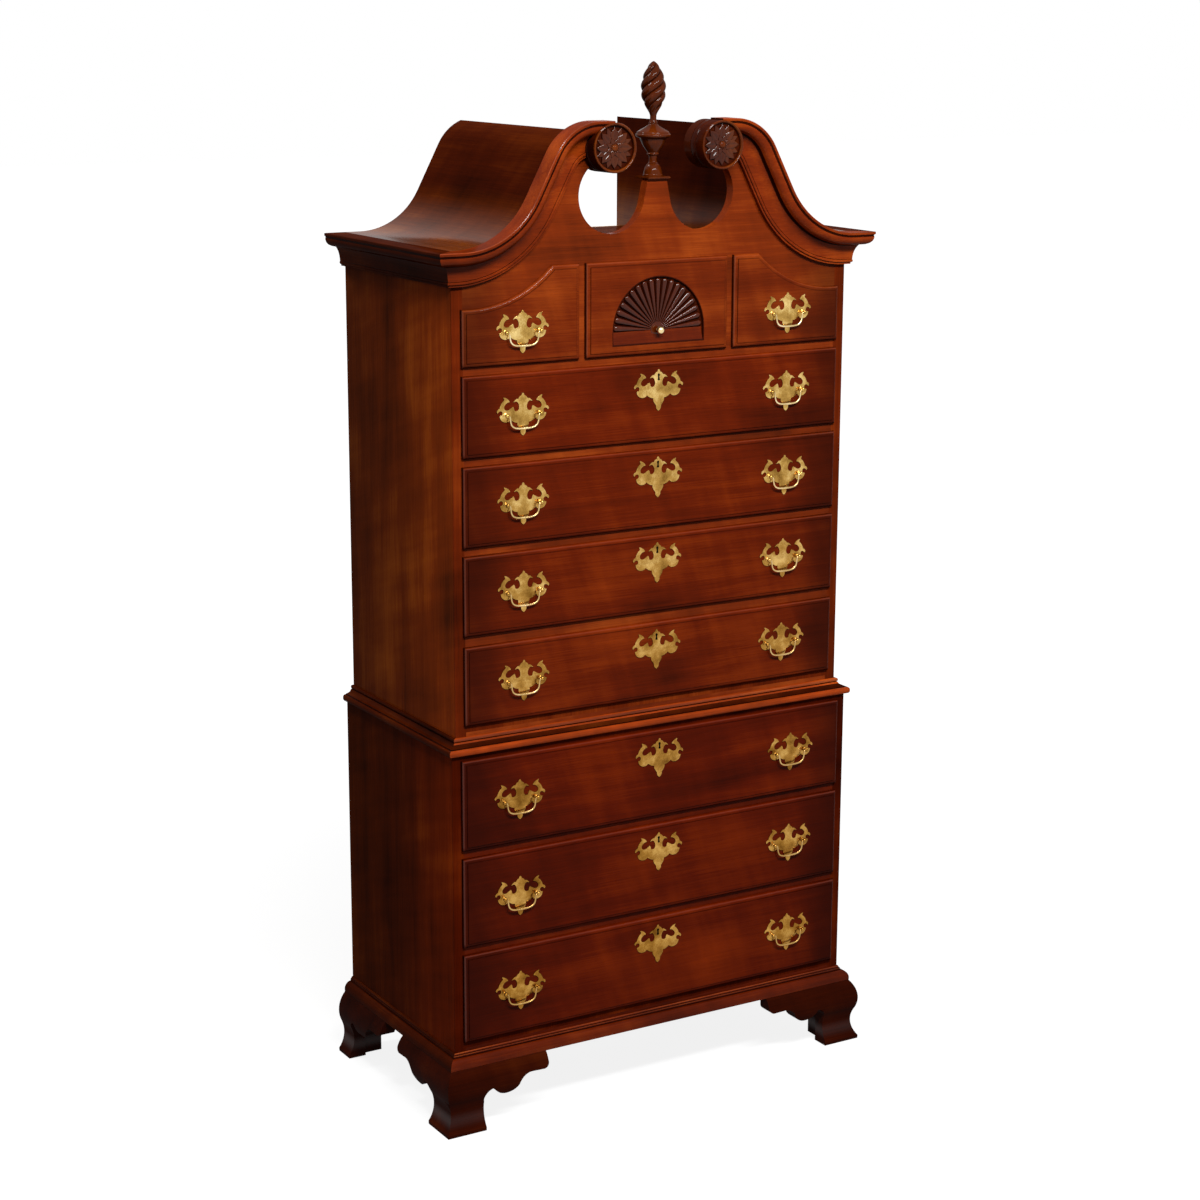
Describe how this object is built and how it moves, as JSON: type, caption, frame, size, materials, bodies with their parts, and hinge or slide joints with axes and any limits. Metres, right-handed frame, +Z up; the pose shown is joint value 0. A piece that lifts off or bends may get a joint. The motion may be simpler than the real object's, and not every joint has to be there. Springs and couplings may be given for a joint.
{
  "type": "chest on chest",
  "caption": "Tall two-part chest of drawers with lipped drawers, a carved fan drawer, swan-neck pediment with rosettes and a flame finial, a bonnet top and ogee bracket feet",
  "frame": {"origin": "on the floor under the middle of the overall box", "axes": "+Z up, +X to the right of a viewer in front, drawers face -Y"},
  "size_m": [1.0256, 0.52, 2.133],
  "materials": {
    "primary_wood": "polished red-brown varnish",
    "secondary_wood": "bare sanded wood",
    "brass": "polished, slightly aged"
  },
  "bodies": {
    "case": {"feet": "primary_wood", "lower_case": "primary_wood", "upper_case": "primary_wood", "lower_drawer_frame": "secondary_wood", "upper_drawer_frame": "secondary_wood", "lower_back_panel": "secondary_wood", "upper_back_panel": "secondary_wood", "base_moulding": "primary_wood", "waist_moulding": "primary_wood", "crown_moulding": "primary_wood", "pediment_board": "primary_wood", "bonnet": "primary_wood", "rosettes": "primary_wood", "finial": "primary_wood"},
    "lower_bottom_drawer": {"lower_bottom_drawer_front": "primary_wood", "lower_bottom_drawer_box": "secondary_wood", "lower_bottom_drawer_brasses": "brass"},
    "lower_bottom_drawer_left_bail": {"lower_bottom_drawer_left_bail": "brass"},
    "lower_bottom_drawer_right_bail": {"lower_bottom_drawer_right_bail": "brass"},
    "lower_middle_drawer": {"lower_middle_drawer_front": "primary_wood", "lower_middle_drawer_box": "secondary_wood", "lower_middle_drawer_brasses": "brass"},
    "lower_middle_drawer_left_bail": {"lower_middle_drawer_left_bail": "brass"},
    "lower_middle_drawer_right_bail": {"lower_middle_drawer_right_bail": "brass"},
    "lower_top_drawer": {"lower_top_drawer_front": "primary_wood", "lower_top_drawer_box": "secondary_wood", "lower_top_drawer_brasses": "brass"},
    "lower_top_drawer_left_bail": {"lower_top_drawer_left_bail": "brass"},
    "lower_top_drawer_right_bail": {"lower_top_drawer_right_bail": "brass"},
    "upper_drawer_1": {"upper_drawer_1_front": "primary_wood", "upper_drawer_1_box": "secondary_wood", "upper_drawer_1_brasses": "brass"},
    "upper_drawer_1_left_bail": {"upper_drawer_1_left_bail": "brass"},
    "upper_drawer_1_right_bail": {"upper_drawer_1_right_bail": "brass"},
    "upper_drawer_2": {"upper_drawer_2_front": "primary_wood", "upper_drawer_2_box": "secondary_wood", "upper_drawer_2_brasses": "brass"},
    "upper_drawer_2_left_bail": {"upper_drawer_2_left_bail": "brass"},
    "upper_drawer_2_right_bail": {"upper_drawer_2_right_bail": "brass"},
    "upper_drawer_3": {"upper_drawer_3_front": "primary_wood", "upper_drawer_3_box": "secondary_wood", "upper_drawer_3_brasses": "brass"},
    "upper_drawer_3_left_bail": {"upper_drawer_3_left_bail": "brass"},
    "upper_drawer_3_right_bail": {"upper_drawer_3_right_bail": "brass"},
    "upper_drawer_4": {"upper_drawer_4_front": "primary_wood", "upper_drawer_4_box": "secondary_wood", "upper_drawer_4_brasses": "brass"},
    "upper_drawer_4_left_bail": {"upper_drawer_4_left_bail": "brass"},
    "upper_drawer_4_right_bail": {"upper_drawer_4_right_bail": "brass"},
    "left_small_drawer": {"left_small_drawer_front": "primary_wood", "left_small_drawer_box": "secondary_wood", "left_small_drawer_brasses": "brass"},
    "left_small_drawer_bail": {"left_small_drawer_bail": "brass"},
    "right_small_drawer": {"right_small_drawer_front": "primary_wood", "right_small_drawer_box": "secondary_wood", "right_small_drawer_brasses": "brass"},
    "right_small_drawer_bail": {"right_small_drawer_bail": "brass"},
    "fan_drawer": {"fan_drawer_front": "primary_wood", "fan_drawer_box": "secondary_wood", "fan_drawer_knob": "brass"}
  },
  "joints": [
    {"name": "lower_bottom_drawer_slide", "type": "slide", "parent": "case", "child": "lower_bottom_drawer", "axis": [0, -1, 0], "range_m": [0, 0.35]},
    {"name": "lower_bottom_drawer_left_bail_hinge", "type": "hinge", "parent": "lower_bottom_drawer", "child": "lower_bottom_drawer_left_bail", "pos_m": [-0.33, -0.242, 0.278], "axis": [-1, 0, 0], "range_deg": [-8, 120]},
    {"name": "lower_bottom_drawer_right_bail_hinge", "type": "hinge", "parent": "lower_bottom_drawer", "child": "lower_bottom_drawer_right_bail", "pos_m": [0.33, -0.242, 0.278], "axis": [-1, 0, 0], "range_deg": [-8, 120]},
    {"name": "lower_middle_drawer_slide", "type": "slide", "parent": "case", "child": "lower_middle_drawer", "axis": [0, -1, 0], "range_m": [0, 0.35]},
    {"name": "lower_middle_drawer_left_bail_hinge", "type": "hinge", "parent": "lower_middle_drawer", "child": "lower_middle_drawer_left_bail", "pos_m": [-0.33, -0.242, 0.4822], "axis": [-1, 0, 0], "range_deg": [-8, 120]},
    {"name": "lower_middle_drawer_right_bail_hinge", "type": "hinge", "parent": "lower_middle_drawer", "child": "lower_middle_drawer_right_bail", "pos_m": [0.33, -0.242, 0.4822], "axis": [-1, 0, 0], "range_deg": [-8, 120]},
    {"name": "lower_top_drawer_slide", "type": "slide", "parent": "case", "child": "lower_top_drawer", "axis": [0, -1, 0], "range_m": [0, 0.35]},
    {"name": "lower_top_drawer_left_bail_hinge", "type": "hinge", "parent": "lower_top_drawer", "child": "lower_top_drawer_left_bail", "pos_m": [-0.33, -0.242, 0.6864], "axis": [-1, 0, 0], "range_deg": [-8, 120]},
    {"name": "lower_top_drawer_right_bail_hinge", "type": "hinge", "parent": "lower_top_drawer", "child": "lower_top_drawer_right_bail", "pos_m": [0.33, -0.242, 0.6864], "axis": [-1, 0, 0], "range_deg": [-8, 120]},
    {"name": "upper_drawer_1_slide", "type": "slide", "parent": "case", "child": "upper_drawer_1", "axis": [0, -1, 0], "range_m": [0, 0.35]},
    {"name": "upper_drawer_1_left_bail_hinge", "type": "hinge", "parent": "upper_drawer_1", "child": "upper_drawer_1_left_bail", "pos_m": [-0.311, -0.2265, 0.9275], "axis": [-1, 0, 0], "range_deg": [-8, 120]},
    {"name": "upper_drawer_1_right_bail_hinge", "type": "hinge", "parent": "upper_drawer_1", "child": "upper_drawer_1_right_bail", "pos_m": [0.311, -0.2265, 0.9275], "axis": [-1, 0, 0], "range_deg": [-8, 120]},
    {"name": "upper_drawer_2_slide", "type": "slide", "parent": "case", "child": "upper_drawer_2", "axis": [0, -1, 0], "range_m": [0, 0.35]},
    {"name": "upper_drawer_2_left_bail_hinge", "type": "hinge", "parent": "upper_drawer_2", "child": "upper_drawer_2_left_bail", "pos_m": [-0.311, -0.2265, 1.1095], "axis": [-1, 0, 0], "range_deg": [-8, 120]},
    {"name": "upper_drawer_2_right_bail_hinge", "type": "hinge", "parent": "upper_drawer_2", "child": "upper_drawer_2_right_bail", "pos_m": [0.311, -0.2265, 1.1095], "axis": [-1, 0, 0], "range_deg": [-8, 120]},
    {"name": "upper_drawer_3_slide", "type": "slide", "parent": "case", "child": "upper_drawer_3", "axis": [0, -1, 0], "range_m": [0, 0.35]},
    {"name": "upper_drawer_3_left_bail_hinge", "type": "hinge", "parent": "upper_drawer_3", "child": "upper_drawer_3_left_bail", "pos_m": [-0.311, -0.2265, 1.2865], "axis": [-1, 0, 0], "range_deg": [-8, 120]},
    {"name": "upper_drawer_3_right_bail_hinge", "type": "hinge", "parent": "upper_drawer_3", "child": "upper_drawer_3_right_bail", "pos_m": [0.311, -0.2265, 1.2865], "axis": [-1, 0, 0], "range_deg": [-8, 120]},
    {"name": "upper_drawer_4_slide", "type": "slide", "parent": "case", "child": "upper_drawer_4", "axis": [0, -1, 0], "range_m": [0, 0.35]},
    {"name": "upper_drawer_4_left_bail_hinge", "type": "hinge", "parent": "upper_drawer_4", "child": "upper_drawer_4_left_bail", "pos_m": [-0.311, -0.2265, 1.4635], "axis": [-1, 0, 0], "range_deg": [-8, 120]},
    {"name": "upper_drawer_4_right_bail_hinge", "type": "hinge", "parent": "upper_drawer_4", "child": "upper_drawer_4_right_bail", "pos_m": [0.311, -0.2265, 1.4635], "axis": [-1, 0, 0], "range_deg": [-8, 120]},
    {"name": "left_small_drawer_slide", "type": "slide", "parent": "case", "child": "left_small_drawer", "axis": [0, -1, 0], "range_m": [0, 0.35]},
    {"name": "left_small_drawer_bail_hinge", "type": "hinge", "parent": "left_small_drawer", "child": "left_small_drawer_bail", "pos_m": [-0.311, -0.2265, 1.6245], "axis": [-1, 0, 0], "range_deg": [-8, 120]},
    {"name": "right_small_drawer_slide", "type": "slide", "parent": "case", "child": "right_small_drawer", "axis": [0, -1, 0], "range_m": [0, 0.35]},
    {"name": "right_small_drawer_bail_hinge", "type": "hinge", "parent": "right_small_drawer", "child": "right_small_drawer_bail", "pos_m": [0.311, -0.2265, 1.6245], "axis": [-1, 0, 0], "range_deg": [-8, 120]},
    {"name": "fan_drawer_slide", "type": "slide", "parent": "case", "child": "fan_drawer", "axis": [0, -1, 0], "range_m": [0, 0.35]}
  ]
}
